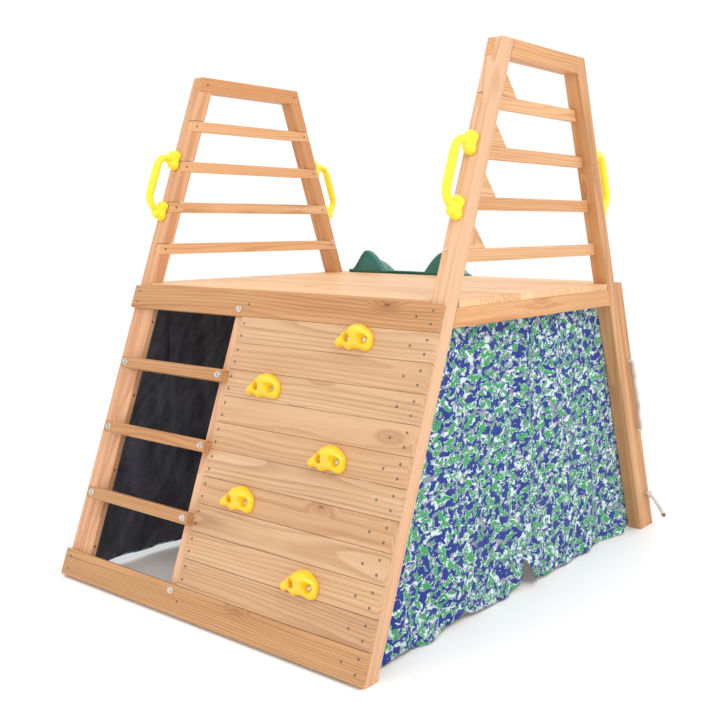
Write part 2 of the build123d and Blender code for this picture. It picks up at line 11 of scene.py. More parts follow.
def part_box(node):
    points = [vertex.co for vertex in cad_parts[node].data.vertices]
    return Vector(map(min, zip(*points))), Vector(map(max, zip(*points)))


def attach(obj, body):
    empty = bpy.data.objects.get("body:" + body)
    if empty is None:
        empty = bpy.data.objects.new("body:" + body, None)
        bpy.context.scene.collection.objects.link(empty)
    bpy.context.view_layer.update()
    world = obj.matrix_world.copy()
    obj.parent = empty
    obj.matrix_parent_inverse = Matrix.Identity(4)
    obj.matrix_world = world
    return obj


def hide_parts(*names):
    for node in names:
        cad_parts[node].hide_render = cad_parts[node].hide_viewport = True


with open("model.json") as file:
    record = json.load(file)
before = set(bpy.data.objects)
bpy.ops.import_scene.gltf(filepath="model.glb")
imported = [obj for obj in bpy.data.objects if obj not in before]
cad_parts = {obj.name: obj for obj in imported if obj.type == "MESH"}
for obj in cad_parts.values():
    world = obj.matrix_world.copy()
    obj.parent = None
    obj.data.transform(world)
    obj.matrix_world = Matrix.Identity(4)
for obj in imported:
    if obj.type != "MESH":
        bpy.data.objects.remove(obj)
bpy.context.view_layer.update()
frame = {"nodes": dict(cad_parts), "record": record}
nodes = frame["nodes"]
record = frame["record"]

# ---------------------------------------------------------------- places, from the frame
feet = [m["pos_m"] for m in record["mounts"] if m["name"].startswith("foot_")]
TOWER = Vector((sum(p[0] for p in feet) / len(feet), sum(p[1] for p in feet) / len(feet), 0))


def node_box(name):
    """A node's lowest and highest corners, measured from the tower's centre."""
    low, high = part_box(name)
    return Vector(low) - TOWER, Vector(high) - TOWER


leg_low, leg_high = node_box("leg_front_right")
HALF_WIDTH = leg_high.x
INNER = leg_low.x
HEIGHT = leg_high.z
HALF_BASE = -leg_low.y
TIMBER = HALF_WIDTH - INNER
LEG_RUN = leg_high.y - leg_low.y
# A leg's side view is a leaning strip: run = height * tan(lean) + TIMBER / cos(lean).
LEG_SECANT = 1.0645             # about 1 / cos(lean)
LEAN = atan((LEG_RUN - TIMBER * LEG_SECANT) / HEIGHT)
DECK_TOP = node_box("deck_board_05")[1].z


def front_at(z, inward=0.0):
    """Y of the front leaning face at height z."""
    return -HALF_BASE + z * sin(LEAN) / cos(LEAN) + inward / cos(LEAN)


def leaning_matrix(x, v, w, rear=False):
    """Matrix of a point on a leaning face: local X level, local Y up the slope, local Z outward."""
    side = -1 if rear else 1
    out = Vector((0, -side * cos(LEAN), sin(LEAN)))
    up = Vector((0, side * sin(LEAN), cos(LEAN)))
    across = Vector((side, 0, 0))
    origin = TOWER + Vector((x, -side * HALF_BASE, 0)) + v * up + w * out
    turn = Matrix((across, up, out)).transposed().to_4x4()
    return Matrix.Translation(origin) @ turn


# ---------------------------------------------------------------- camera, floor and light
# The photo's camera, from a fit to the photo.
CAMERA_PLACE = (2.0487, -2.5007, 1.1128)
CAMERA_YAW, CAMERA_PITCH = 0.66645, -0.13893
CAMERA_LENS = 48.59
CAMERA_SHIFT = (-0.0507, -0.0012)

# Soft studio light. Each light: name, place, target, size, power, colour.
LIGHTS = (
    ("key_light", (4.2, -1.6, 4.6), (0, 0, 0.6), 2.2, 92, (1.0, 0.985, 0.96)),
    ("front_light", (-1.2, -5.0, 3.0), (0, 0, 0.7), 3.0, 30, (1.0, 0.98, 0.96)),
    ("top_light", (0.2, 0.8, 5.5), (0, 0.2, 0), 3.0, 38, (1, 1, 1)),
)
WORLD_STRENGTH = 1.03
FLOOR_WHITE = (0.98, 0.98, 0.98, 1)


def make_camera():
    data = bpy.data.cameras.new("photo_camera")
    data.sensor_width = 36.0
    data.lens = CAMERA_LENS
    data.shift_x, data.shift_y = CAMERA_SHIFT
    data.clip_end = 100
    camera = bpy.data.objects.new("photo_camera", data)
    bpy.context.collection.objects.link(camera)
    level = cos(CAMERA_PITCH)
    forward = Vector((-sin(CAMERA_YAW) * level, cos(CAMERA_YAW) * level, sin(CAMERA_PITCH)))
    camera.location = TOWER + Vector(CAMERA_PLACE)
    camera.rotation_euler = forward.to_track_quat("-Z", "Y").to_euler()
    bpy.context.scene.camera = camera


def area_light(name, place, target, size, power, colour):
    data = bpy.data.lights.new(name, "AREA")
    data.shape = "DISK"
    data.size = size
    data.energy = power
    data.color = colour
    light = bpy.data.objects.new(name, data)
    light.location = TOWER + Vector(place)
    aim = Vector(target) - Vector(place)
    light.rotation_euler = aim.to_track_quat("-Z", "Y").to_euler()
    bpy.context.collection.objects.link(light)


def make_stage():
    bpy.ops.mesh.primitive_plane_add(size=60, location=(0, 0, 0))
    floor = bpy.context.object
    floor.name = "studio_floor"
    floor_material = bpy.data.materials.new("studio_white")
    floor_material.use_nodes = True
    shader = floor_material.node_tree.nodes["Principled BSDF"]
    shader.inputs["Base Color"].default_value = FLOOR_WHITE
    shader.inputs["Roughness"].default_value = 0.9
    shader.inputs["Specular IOR Level"].default_value = 0.1
    floor.data.materials.append(floor_material)
    world = bpy.data.worlds.new("studio_world")
    bpy.context.scene.world = world
    world.use_nodes = True
    background = world.node_tree.nodes["Background"]
    background.inputs["Color"].default_value = (1, 1, 1, 1)
    background.inputs["Strength"].default_value = WORLD_STRENGTH
    for light in LIGHTS:
        area_light(*light)
    bpy.context.scene.view_settings.view_transform = "Standard"


# ---------------------------------------------------------------- shader helpers
class Shader:
    """Short names for building a node tree."""

    def __init__(self, name):
        self.material = bpy.data.materials.new(name)
        self.material.use_nodes = True
        self.tree = self.material.node_tree
        self.out = self.tree.nodes["Principled BSDF"]

    def add(self, kind, **values):
        node = self.tree.nodes.new(kind)
        for key, value in values.items():
            setattr(node, key, value)
        return node

    def put(self, socket, value):
        if isinstance(value, bpy.types.NodeSocket):
            self.tree.links.new(value, socket)
        else:
            socket.default_value = value

    def math(self, operation, a, b=0.0, clamp=False):
        node = self.add("ShaderNodeMath", operation=operation, use_clamp=clamp)
        self.put(node.inputs[0], a)
        self.put(node.inputs[1], b)
        return node.outputs[0]

    def vector(self, operation, a, b):
        node = self.add("ShaderNodeVectorMath", operation=operation)
        self.put(node.inputs[0], a)
        self.put(node.inputs[1], b)
        return node.outputs[0]

    def noise(self, where, scale, detail=3.0, rough=0.5, distortion=0.0):
        node = self.add("ShaderNodeTexNoise")
        self.put(node.inputs["Vector"], where)
        node.inputs["Scale"].default_value = scale
        node.inputs["Detail"].default_value = detail
        node.inputs["Roughness"].default_value = rough
        node.inputs["Distortion"].default_value = distortion
        return node.outputs["Fac"]

    def ramp(self, value, *stops, smooth=True):
        node = self.add("ShaderNodeValToRGB")
        node.color_ramp.interpolation = "EASE" if smooth else "LINEAR"
        elements = node.color_ramp.elements
        while len(elements) < len(stops):
            elements.new(0.5)
        for element, (place, colour) in zip(elements, stops):
            element.position = place
            element.color = (*colour, 1) if len(colour) == 3 else colour
        self.put(node.inputs[0], value)
        return node.outputs[0]

    def step(self, value, low, high):
        """Smooth step from 0 at low to 1 at high."""
        node = self.add("ShaderNodeMapRange", interpolation_type="SMOOTHSTEP")
        self.put(node.inputs["Value"], value)
        node.inputs["From Min"].default_value = low
        node.inputs["From Max"].default_value = high
        return node.outputs["Result"]

    def mix(self, amount, a, b, blend="MIX"):
        node = self.add("ShaderNodeMix", data_type="RGBA", blend_type=blend)
        self.put(node.inputs["Factor"], amount)
        self.put(node.inputs["A"], a if not isinstance(a, tuple) else (*a, 1))
        self.put(node.inputs["B"], b if not isinstance(b, tuple) else (*b, 1))
        return node.outputs["Result"]

    def bump(self, height, strength, distance):
        node = self.add("ShaderNodeBump")
        node.inputs["Strength"].default_value = strength
        node.inputs["Distance"].default_value = distance
        self.put(node.inputs["Height"], height)
        self.put(self.out.inputs["Normal"], node.outputs[0])


# ---------------------------------------------------------------- wood
def wood_material(name, grain, light, dark, ring, knots, gloss=0.46):
    """Sawn softwood. Rings round a wandering pith give grain lines on the faces and arcs on the
    ends. The object's colour holds the board's own numbers: R seed, G lightness, B warmth."""
    s = Shader(name)
    where = s.add("ShaderNodeTexCoord").outputs["Object"]
    if grain == "x":
        turned = where
        along, across, deep = 0, 1, 2
    elif grain == "y":
        turned = where
        along, across, deep = 1, 0, 2
    else:
        turn = s.add("ShaderNodeVectorRotate", rotation_type="X_AXIS")
        s.put(turn.inputs["Vector"], where)
        turn.inputs["Angle"].default_value = LEAN if grain == "front" else -LEAN
        turned = turn.outputs[0]
        along, across, deep = 2, 0, 1
    parts = s.add("ShaderNodeSeparateXYZ")
    s.put(parts.inputs[0], turned)
    own = s.add("ShaderNodeSeparateColor")
    s.put(own.inputs[0], s.add("ShaderNodeObjectInfo").outputs["Color"])
    seed, lightness, warmth = own.outputs[0], own.outputs[1], own.outputs[2]
    length = s.math("ADD", parts.outputs[along], s.math("MULTIPLY", seed, 37.0))
    side = s.math("ADD", parts.outputs[across], s.math("MULTIPLY", seed, 5.3))
    depth = s.math("ADD", parts.outputs[deep], s.math("MULTIPLY", seed, 3.1))

    def point(length_scale, side_scale=1.0):
        node = s.add("ShaderNodeCombineXYZ")
        s.put(node.inputs[0], s.math("MULTIPLY", length, length_scale))
        s.put(node.inputs[1], s.math("MULTIPLY", side, side_scale))
        s.put(node.inputs[2], s.math("MULTIPLY", depth, side_scale))
        return node.outputs[0]

    # Knots: one possible knot in each long cell, shown only where the cell's own number is high.
    cell = s.add("ShaderNodeTexVoronoi", feature="F1")
    cell.inputs["Randomness"].default_value = 0.9
    cell.inputs["Scale"].default_value = 9.0
    s.put(cell.inputs["Vector"], point(0.42))
    cell_number = s.add("ShaderNodeSeparateColor")
    s.put(cell_number.inputs[0], cell.outputs["Color"])
    has_knot = s.step(cell_number.outputs[0], 1.0 - knots * 0.55, 1.0 - knots * 0.55 + 0.02)
    ragged = s.math("MULTIPLY", s.noise(point(60, 60), 1.0), 0.03)
    knot_distance = s.math("ADD", cell.outputs["Distance"], ragged)
    inside_core = s.math("SUBTRACT", 1.0, s.step(knot_distance, 0.045, 0.085))
    inside_halo = s.math("SUBTRACT", 1.0, s.step(knot_distance, 0.06, 0.30))
    knot_core = s.math("MULTIPLY", has_knot, inside_core)
    knot_halo = s.math("MULTIPLY", has_knot, inside_halo)

    # Growth rings round a pith that wanders along the board and lies off to one side.
    wander = s.noise(point(0.9, 0.0), 1.0, 2.0)
    wander_deep = s.noise(point(0.7, 3.0), 1.3, 2.0)
    pith_shift = s.math("MULTIPLY", s.math("SUBTRACT", wander, 0.5), 0.16)
    u = s.math("ADD", pith_shift, s.math("SINE", s.math("MULTIPLY", side, 21.0)))
    u = s.math("MULTIPLY", u, 0.045)
    v = s.math("ADD", s.math("SINE", s.math("MULTIPLY", depth, 17.0)), s.math("MULTIPLY", wander_deep, 1.1))
    v = s.math("MULTIPLY", v, 0.055)
    radius = s.math("SQRT", s.math("ADD", s.math("MULTIPLY", u, u), s.math("MULTIPLY", v, v)))
    radius = s.math("ADD", radius, s.math("MULTIPLY", knot_halo, 0.011))
    radius = s.math("ADD", radius, s.math("MULTIPLY", s.noise(point(3.0, 16.0), 1.0, 3.0), 0.006))
    ring_place = s.math("FRACT", s.math("DIVIDE", radius, ring))
    ring_end = s.math("SUBTRACT", 1.0, s.step(ring_place, 0.94, 1.0))
    late_wood = s.math("MULTIPLY", s.step(ring_place, 0.35, 0.93), ring_end)

    # Fine fibres, broad colour drift and small pores.
    fibre = s.noise(point(5.0, 420.0), 1.0, 3.0, 0.6)
    streak = s.noise(point(1.6, 70.0), 1.0, 3.0, 0.55)
    drift = s.noise(point(1.2, 7.0), 1.0, 2.0)
    tone = s.math("MULTIPLY", late_wood, 0.42)
    tone = s.math("ADD", tone, s.math("MULTIPLY", s.math("SUBTRACT", fibre, 0.5), 0.55))
    tone = s.math("ADD", tone, s.math("MULTIPLY", s.math("SUBTRACT", streak, 0.5), 0.9))
    tone = s.math("ADD", tone, s.math("MULTIPLY", s.math("SUBTRACT", drift, 0.5), 0.8))
    tone = s.math("ADD", tone, s.math("MULTIPLY", s.math("SUBTRACT", 0.5, lightness), 1.2))
    tone = s.math("ADD", tone, 0.22, clamp=True)
    middle = tuple((a + b) / 2 * f for a, b, f in zip(light, dark, (1.03, 1.0, 0.95)))
    colour = s.ramp(tone, (0.0, light), (0.5, middle), (1.0, dark), smooth=False)
    red = tuple(a * f for a, f in zip(middle, (1.05, 0.82, 0.66)))
    colour = s.mix(s.math("MULTIPLY", warmth, 0.6), colour, red)
    amber = tuple(a * f for a, f in zip(dark, (0.85, 0.68, 0.5)))
    colour = s.mix(s.math("MULTIPLY", knot_halo, 0.45), colour, amber)
    knot_rings = s.ramp(
        s.math("FRACT", s.math("MULTIPLY", knot_distance, 26.0)),
        (0.0, tuple(a * 0.42 for a in dark)),
        (1.0, tuple(a * f for a, f in zip(dark, (0.75, 0.6, 0.45)))),
    )
    colour = s.mix(knot_core, colour, knot_rings)
    s.put(s.out.inputs["Base Color"], colour)
    s.put(s.out.inputs["Roughness"], s.math("ADD", s.math("MULTIPLY", streak, 0.22), gloss - 0.1))
    s.out.inputs["Specular IOR Level"].default_value = 0.35
    height = s.math("ADD", s.math("MULTIPLY", fibre, 0.6), s.math("MULTIPLY", late_wood, 0.5))
    height = s.math("ADD", height, s.math("MULTIPLY", knot_core, -0.5))
    s.bump(height, 0.28, 0.0006)
    return s.material


def paint(name, material, colour=None):
    """Give a CAD node one material, and its board its own numbers."""
    part = nodes[name]
    part.data.materials.clear()
    part.data.materials.append(material)
    if colour is not None:
        part.color = (*colour, 1)


# Each wood: name, grain, early wood colour, late wood colour, ring width, share of knots.
WOODS = (
    ("leg_wood_front", "front", (0.76, 0.47, 0.285), (0.44, 0.205, 0.095), 0.0065, 0.55),
    ("leg_wood_rear", "rear", (0.66, 0.37, 0.175), (0.37, 0.155, 0.055), 0.0065, 0.4),
    ("beam_wood", "y", (0.74, 0.43, 0.21), (0.45, 0.20, 0.078), 0.0065, 0.15),
    ("rung_wood", "y", (0.76, 0.47, 0.25), (0.45, 0.21, 0.085), 0.005, 0.1),
    ("deck_wood", "x", (0.84, 0.59, 0.35), (0.60, 0.335, 0.15), 0.008, 0.3),
    ("plank_wood", "x", (0.70, 0.475, 0.285), (0.38, 0.205, 0.105), 0.009, 0.9),
    ("trim_wood", "x", (0.64, 0.38, 0.18), (0.34, 0.155, 0.062), 0.0065, 0.6),
)
BOARD_SEED = 7


def dress_wood():
    """Give every timber node its wood, with its own seed, lightness and warmth."""
    rng = np.random.default_rng(BOARD_SEED)
    legs_front, legs_rear, beams, rungs, decks, planks, trims = (wood_material(*wood) for wood in WOODS)
    kinds = {
        "leg_front_": legs_front, "stringer_": legs_front, "stud_": legs_front,
        "leg_rear_": legs_rear, "rear_post_": legs_rear,
        "rim_beam_": beams, "top_rail_": beams, "deck_joist": beams,
        "rung_": rungs, "gussets": rungs,
        "deck_board_": decks, "rear_header": decks,
        "wall_plank_": planks,
        "kick_board": trims, "fascia_board": trims, "step_": trims,
    }
    for name in sorted(nodes):
        for start, material in kinds.items():
            if name.startswith(start):
                light = 0.5 + 0.46 * (rng.random() - 0.5)
                warm = 0.05 + 0.5 * rng.random()
                paint(name, material, (rng.random(), light, warm))
                break


# ---------------------------------------------------------------- plastics and metal
def plastic_material(name, colour, dark, gloss, mottled=0.2, coat=0.3):
    """Moulded plastic: slight mottling, a fine pitted surface and soft gloss."""
    s = Shader(name)
    where = s.add("ShaderNodeTexCoord").outputs["Object"]
    cloud = s.noise(where, 14.0, 3.0)
    fine = s.noise(where, 900.0, 2.0)
    colour_mix = s.mix(s.math("MULTIPLY", s.step(cloud, 0.3, 0.8), mottled), colour, dark)
    s.put(s.out.inputs["Base Color"], colour_mix)
    s.put(s.out.inputs["Roughness"], s.math("ADD", s.math("MULTIPLY", cloud, 0.12), gloss))
    s.out.inputs["Coat Weight"].default_value = coat
    s.out.inputs["Coat Roughness"].default_value = 0.15
    s.bump(s.math("ADD", s.math("MULTIPLY", fine, 0.4), cloud), 0.12, 0.0006)
    return s.material


def metal_material(name, colour, roughness):
    """Plated steel with faint scratches and darker patches."""
    s = Shader(name)
    where = s.add("ShaderNodeTexCoord").outputs["Object"]
    patch = s.noise(where, 180.0, 3.0)
    scratch = s.noise(s.vector("MULTIPLY", where, (900, 60, 900)), 1.0, 2.0)
    dull = tuple(a * 0.55 for a in colour)
    s.put(s.out.inputs["Base Color"], s.mix(s.step(patch, 0.35, 0.75), colour, dull))
    s.put(s.out.inputs["Roughness"], s.math("ADD", s.math("MULTIPLY", scratch, 0.25), roughness))
    s.out.inputs["Metallic"].default_value = 0.9
    s.bump(scratch, 0.15, 0.0002)
    return s.material


# ---------------------------------------------------------------- mesh helpers
def mesh_piece(name, vertices, faces, materials, indices=None, body="root"):
    """A smooth-shaded mesh object that rides on a body."""
    mesh = bpy.data.meshes.new(name)
    mesh.from_pydata([tuple(map(float, v)) for v in vertices], [], faces)
    for material in materials:
        mesh.materials.append(material)
    if indices is not None:
        mesh.polygons.foreach_set("material_index", indices)
    mesh.polygons.foreach_set("use_smooth", [True] * len(mesh.polygons))
    mesh.update()
    piece = bpy.data.objects.new(name, mesh)
    bpy.context.collection.objects.link(piece)
    if body:
        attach(piece, body)
    return piece


def smooth_step(value, low, high):
    """0 at low and 1 at high, with no corner between."""
    t = np.clip((np.asarray(value, float) - low) / (high - low), 0, 1)
    return t * t * (3 - 2 * t)


def tube(points, radii, sides=20, domed=True):
    """Vertices and faces of a tube along points, with rounded ends."""
    points = np.asarray(points, float)
    radii = np.broadcast_to(np.asarray(radii, float), (len(points),))
    along = np.gradient(points, axis=0)
    along /= np.linalg.norm(along, axis=1)[:, None]
    side = np.cross(along[0], (0.31, 0.17, 0.93))
    vertices, faces = [], []
    rings = [(points[i], along[i], radii[i]) for i in range(len(points))]
    if domed:
        caps = (0.94, 0.75, 0.45, 0.12)

        def dome(ring, way, shares):
            centre, direction, radius = ring
            return [
                (centre + direction * radius * c * way, direction, radius * (1 - c * c) ** 0.5)
                for c in shares
            ]

        rings = dome(rings[0], -1, caps) + rings + dome(rings[-1], 1, reversed(caps))
    for centre, direction, radius in rings:
        side = side - direction * side.dot(direction)
        side /= np.linalg.norm(side)
        other = np.cross(direction, side)
        for k in range(sides):
            a = tau * k / sides
            vertices.append(centre + radius * (cos(a) * side + sin(a) * other))
    for i in range(len(rings) - 1):
        for k in range(sides):
            a, b = i * sides + k, i * sides + (k + 1) % sides
            faces.append((a, b, b + sides, a + sides))
    faces.append(tuple(reversed(range(sides))))
    faces.append(tuple(range((len(rings) - 1) * sides, len(rings) * sides)))
    return vertices, faces


def ball(centre, radius, stretch=(1, 1, 1)):
    """Vertices and faces of a rounded lobe, to be fused with its neighbours."""
    stack = [(centre[0], centre[1], centre[2] + radius * way) for way in (-0.02, 0.02)]
    vertices, faces = tube(stack, radius, 24)
    middle = np.asarray(centre, float)
    return [middle + (v - middle) * np.asarray(stretch) for v in vertices], faces


def fused_mesh(name, shells, voxel, relax):
    """One skin over overlapping shells, as moulded plastic."""
    vertices, faces = [], []
    for shell_vertices, shell_faces in shells:
        start = len(vertices)
        vertices += list(shell_vertices)
        faces += [tuple(i + start for i in face) for face in shell_faces]
    draft = mesh_piece(name + "_draft", vertices, faces, [], body=None)
    fuse = draft.modifiers.new("fuse", "REMESH")
    fuse.mode = "VOXEL"
    fuse.voxel_size = voxel
    soften = draft.modifiers.new("soften", "SMOOTH")
    soften.factor = 0.5
    soften.iterations = relax
    depsgraph = bpy.context.evaluated_depsgraph_get()
    mesh = bpy.data.meshes.new_from_object(draft.evaluated_get(depsgraph))
    mesh.name = name
    mesh.polygons.foreach_set("use_smooth", [True] * len(mesh.polygons))
    bpy.data.objects.remove(draft)
    return mesh


# ---------------------------------------------------------------- fabric walls
PRINT_PIXEL = 0.0021            # the print's blotches have stepped edges of this size
THREADS = 5200.0                # radians per metre of the weave


def camo_material():
    """Printed cloth: stepped blotches with pale gaps, on a fine plain weave."""
    s = Shader("camo_fabric")
    where = s.add("ShaderNodeTexCoord").outputs["Object"]
    parts = s.add("ShaderNodeSeparateXYZ")
    s.put(parts.inputs[0], where)
    flat = s.add("ShaderNodeCombineXYZ")
    s.put(flat.inputs[0], parts.outputs[1])
    s.put(flat.inputs[1], parts.outputs[2])
    snap = s.add("ShaderNodeVectorMath", operation="SNAP")
    s.put(snap.inputs[0], flat.outputs[0])
    snap.inputs[1].default_value = (PRINT_PIXEL, PRINT_PIXEL, 1)
    print_place = s.vector("MULTIPLY", snap.outputs[0], (0.86, 1.18, 1))

    def blotch(shift, scale, distortion=0.8):
        return s.noise(s.vector("ADD", print_place, shift), scale, 2.5, 0.55, distortion)

    blue = blotch((0, 0, 0.4), 40)
    green = blotch((3.7, 1.9, 2.2), 43)
    grey = blotch((7.1, 5.3, 4.8), 38)
    colour = s.mix(s.step(grey, 0.535, 0.54), (0.70, 0.79, 0.82), (0.33, 0.30, 0.43))
    off_blue = s.math("SUBTRACT", 1.0, s.step(blue, 0.482, 0.487))
    green_mask = s.math("MULTIPLY", s.step(green, 0.462, 0.467), off_blue)
    colour = s.mix(green_mask, colour, (0.048, 0.37, 0.115))
    colour = s.mix(s.step(blue, 0.515, 0.52), colour, (0.012, 0.040, 0.26))
    weft, warp = (s.math("SINE", s.math("MULTIPLY", parts.outputs[axis], THREADS)) for axis in (1, 2))
    thread = s.math("MULTIPLY", weft, warp)
    slub = s.noise(s.vector("MULTIPLY", where, (1, 900, 60)), 1.0, 2.0)
    slub_shade = s.math("MULTIPLY", s.math("SUBTRACT", slub, 0.5), 0.25)
    shade = s.math("ADD", s.math("MULTIPLY", thread, 0.05), slub_shade)
    colour = s.mix(s.math("ADD", shade, 0.10, clamp=True), colour, (0.02, 0.03, 0.06))
    s.put(s.out.inputs["Base Color"], colour)
    s.put(s.out.inputs["Roughness"], s.math("ADD", s.math("MULTIPLY", slub, 0.2), 0.6))
    s.out.inputs["Specular IOR Level"].default_value = 0.3
    s.out.inputs["Sheen Weight"].default_value = 0.08
    s.out.inputs["Sheen Roughness"].default_value = 0.4
    crush = s.noise(s.vector("MULTIPLY", where, (1, 1.5, 0.8)), 28.0, 4.0, 0.6)
    s.bump(s.math("ADD", s.math("MULTIPLY", thread, 0.08), crush), 0.5, 0.0022)
    return s.material


def lining_material_painted_sheen():
    """Coated black backing with fine creases. Its colour lightens along soft diagonal streaks of the crease
    noise: painted sheen.
    """
    s = Shader("black_lining_painted_sheen")
    where = s.add("ShaderNodeTexCoord").outputs["Object"]
    tilted = s.add("ShaderNodeVectorRotate", rotation_type="X_AXIS")
    s.put(tilted.inputs["Vector"], where)
    tilted.inputs["Angle"].default_value = 0.6
    crease = s.noise(s.vector("MULTIPLY", tilted.outputs[0], (1, 3.2, 1.1)), 5.0, 5.0, 0.62, 0.9)
    crush = s.noise(where, 46.0, 4.0, 0.6)
    weave = s.noise(s.vector("MULTIPLY", where, (1, 1400, 1400)), 1.0, 1.0)
    # Painted sheen: the colour is lighter where the tilted crease and crush noises are high, in place of soft
    # diagonal highlights; the bump below gives the real creases.
    tone = s.math("ADD", s.math("MULTIPLY", crease, 0.8), s.math("MULTIPLY", crush, 0.3))
    colour = s.ramp(tone, (0.35, (0.018, 0.019, 0.027)), (0.8, (0.085, 0.088, 0.118)))
    s.put(s.out.inputs["Base Color"], colour)
    s.put(s.out.inputs["Roughness"], s.math("ADD", s.math("MULTIPLY", crush, 0.25), 0.36))
    s.out.inputs["Specular IOR Level"].default_value = 0.45
    height = s.math("ADD", s.math("MULTIPLY", crease, 1.6), s.math("MULTIPLY", crush, 0.35))
    s.bump(s.math("ADD", height, s.math("MULTIPLY", weave, 0.02)), 0.7, 0.006)
    return s.material


CLOTH = 0.0012                  # thickness of the doubled cloth
SLIT_TOP = 0.091                # top of the slit in the right wall
SLIT_TIP, SLIT_SPREAD = 0.008, 0.028    # half of its width just below its top, and what the hem adds
BEHIND_LEGS = 0.0003            # the cloth's plane, in from the legs' inner faces
WALL_HIGH = node_box("fabric_wall_left")[1].z
BEAM_LOW = node_box("rim_beam_left")[0].z
UPRIGHT_CREASES = (-0.62, -0.41, -0.2, 0.035, 0.245, 0.455, 0.66)   # Y of the packing folds
LEVEL_CREASES = (0.30, 0.585)                                       # and Z
FRONT_INSET, REAR_INSET = 0.024, 0.014     # the cloth's edges, in from the legs' outer faces


def hang(side, y, z):
    """How far the cloth stands out from the legs' inner faces, positive away from the tower."""
    front_gap = (y - front_at(z)) * cos(LEAN) - TIMBER
    rear_gap = (-y - front_at(z)) * cos(LEAN) - TIMBER
    free = float(smooth_step(min(front_gap, rear_gap), 0.003, 0.085) * smooth_step(BEAM_LOW - z, 0.002, 0.09))
    low = 1 - z / WALL_HIGH
    seed = 3.0 if side > 0 else 11.0
    folds = noise.noise(Vector((y * 8.5 + 0.35 * z, z * 0.9, seed))) * (0.011 + 0.009 * low)
    folds += noise.noise(Vector((y * 19.0 - 0.8 * z, z * 1.9, seed + 5))) * 0.0065
    folds += abs(noise.noise(Vector((y * 26.0 + 2.0 * z, z * 3.0, seed + 9)))) * 0.0025
    for crease in UPRIGHT_CREASES:
        folds -= 0.0022 * exp(-(((y - crease - 0.006 * sin(9 * z)) / 0.006) ** 2))
    for crease in LEVEL_CREASES:
        folds -= 0.0018 * exp(-(((z - crease - 0.004 * sin(7 * y)) / 0.005) ** 2))
    corner = float(smooth_step(0.45 - z, 0.0, 0.4) * smooth_step(-0.12 - y, 0.0, 0.3))
    folds += corner * 0.007 * sin(46 * (0.75 * z + 0.5 * y))
    near_slit = exp(-((y / 0.2) ** 2)) * exp(-((z / 0.24) ** 2))
    folds += near_slit * 0.006 * sin(52 * (z * 0.8 - abs(y) * 0.75) + 0.6)
    billow = 0.022 * low**3 * (0.75 + 0.5 * noise.noise(Vector((y * 3.1, 2.0, seed))))
    if side < 0:
        billow *= 0.5
    return -0.0006 + free * (folds + billow)


def hem_height(side, y):
    """Height of the lower edge: near the ground, with shallow steps and waves."""
    wave = 0.003 * sin(17 * y) + 0.002 * sin(41 * y + 1.3)
    if side < 0:
        return 0.020 + wave
    lift = 0.011 * exp(-(((y + 0.36) / 0.07) ** 2)) + 0.006 * exp(-((y / 0.08) ** 2))
    return 0.0075 + wave + lift


def make_wall(side, name, camo, lining):
    """A doubled sheet hung from the beam and held on two legs; the right one has a slit."""
    half_columns, low_rows, high_rows = 112, 14, 112
    slit = SLIT_TOP if side > 0 else -1.0
    plane = side * (INNER - BEHIND_LEGS)
    index, vertices, faces, kinds = {}, [], [], []

    def vertex(half, layer, row, column):
        """column 0 is on the centre line and half_columns on a leg."""
        merged = column == 0 and (row >= low_rows or slit < 0)
        key = (0 if merged else half, layer, row, column)
        if key in index:
            return index[key]
        share = column / half_columns
        outward = -1 if half == 0 else 1
        rough_y = outward * share * HALF_BASE * 0.95
        if row <= low_rows:
            hem = hem_height(side, rough_y)
            z = hem + (SLIT_TOP - hem) * row / low_rows
        else:
            z = SLIT_TOP + (WALL_HIGH - SLIT_TOP) * (row - low_rows) / high_rows
        edge = front_at(z, FRONT_INSET) if half == 0 else -front_at(z, REAR_INSET)
        opening = 0.0
        if z < slit:
            fall = (slit - z) / slit
            opening = SLIT_TIP * min(1, fall / 0.22) ** 0.5 + SLIT_SPREAD * fall
        y = edge * share + outward * opening * (1 - share) ** 6
        out = hang(side, y, z)
        if row < low_rows and slit > 0:
            curl = (1 - share) ** 30 * (1 - row / low_rows)
            out += curl * (0.014 if half == 1 else -0.004)
        x = plane + side * (out - (CLOTH if layer else 0))
        index[key] = len(vertices)
        vertices.append((TOWER.x + x, TOWER.y + y, z))
        return index[key]

    rows = low_rows + high_rows

    def quad(a, b, c, d, kind, flip):
        faces.append((a, d, c, b) if flip else (a, b, c, d))
        kinds.append(kind)

    for half in (0, 1):
        mirrored = (half == 0) != (side < 0)
        for row in range(rows):
            for column in range(half_columns):
                for layer in (0, 1):
                    a = vertex(half, layer, row, column)
                    b = vertex(half, layer, row, column + 1)
                    c = vertex(half, layer, row + 1, column + 1)
                    d = vertex(half, layer, row + 1, column)
                    trim = layer == 1 and row > 0
                    quad(a, b, c, d, 1 if trim else 0, mirrored != (layer == 1))
        for column in range(half_columns):
            for row, up in ((0, False), (rows, True)):
                a, b = vertex(half, 0, row, column), vertex(half, 0, row, column + 1)
                c, d = vertex(half, 1, row, column + 1), vertex(half, 1, row, column)
                quad(a, b, c, d, 0, mirrored == (not up))
        for row in range(rows):
            edges = [(half_columns, False)]
            if slit > 0 and row < low_rows:
                edges.append((0, True))
            for column, inner in edges:
                a, b = vertex(half, 0, row, column), vertex(half, 0, row + 1, column)
                c, d = vertex(half, 1, row + 1, column), vertex(half, 1, row, column)
                quad(a, b, c, d, 0, mirrored == inner)
    piece = mesh_piece(name, vertices, faces, [camo, lining], kinds)
    tidy = bmesh.new()
    tidy.from_mesh(piece.data)
    bmesh.ops.recalc_face_normals(tidy, faces=tidy.faces)
    tidy.to_mesh(piece.data)
    tidy.free()
    hand = "right" if side > 0 else "left"
    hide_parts(f"fabric_wall_{hand}")
    return piece


# ---------------------------------------------------------------- slide
SLIDE_SKIN = 0.005
SLIDE_GAP = 0.0008              # between the slide's front edge and the deck


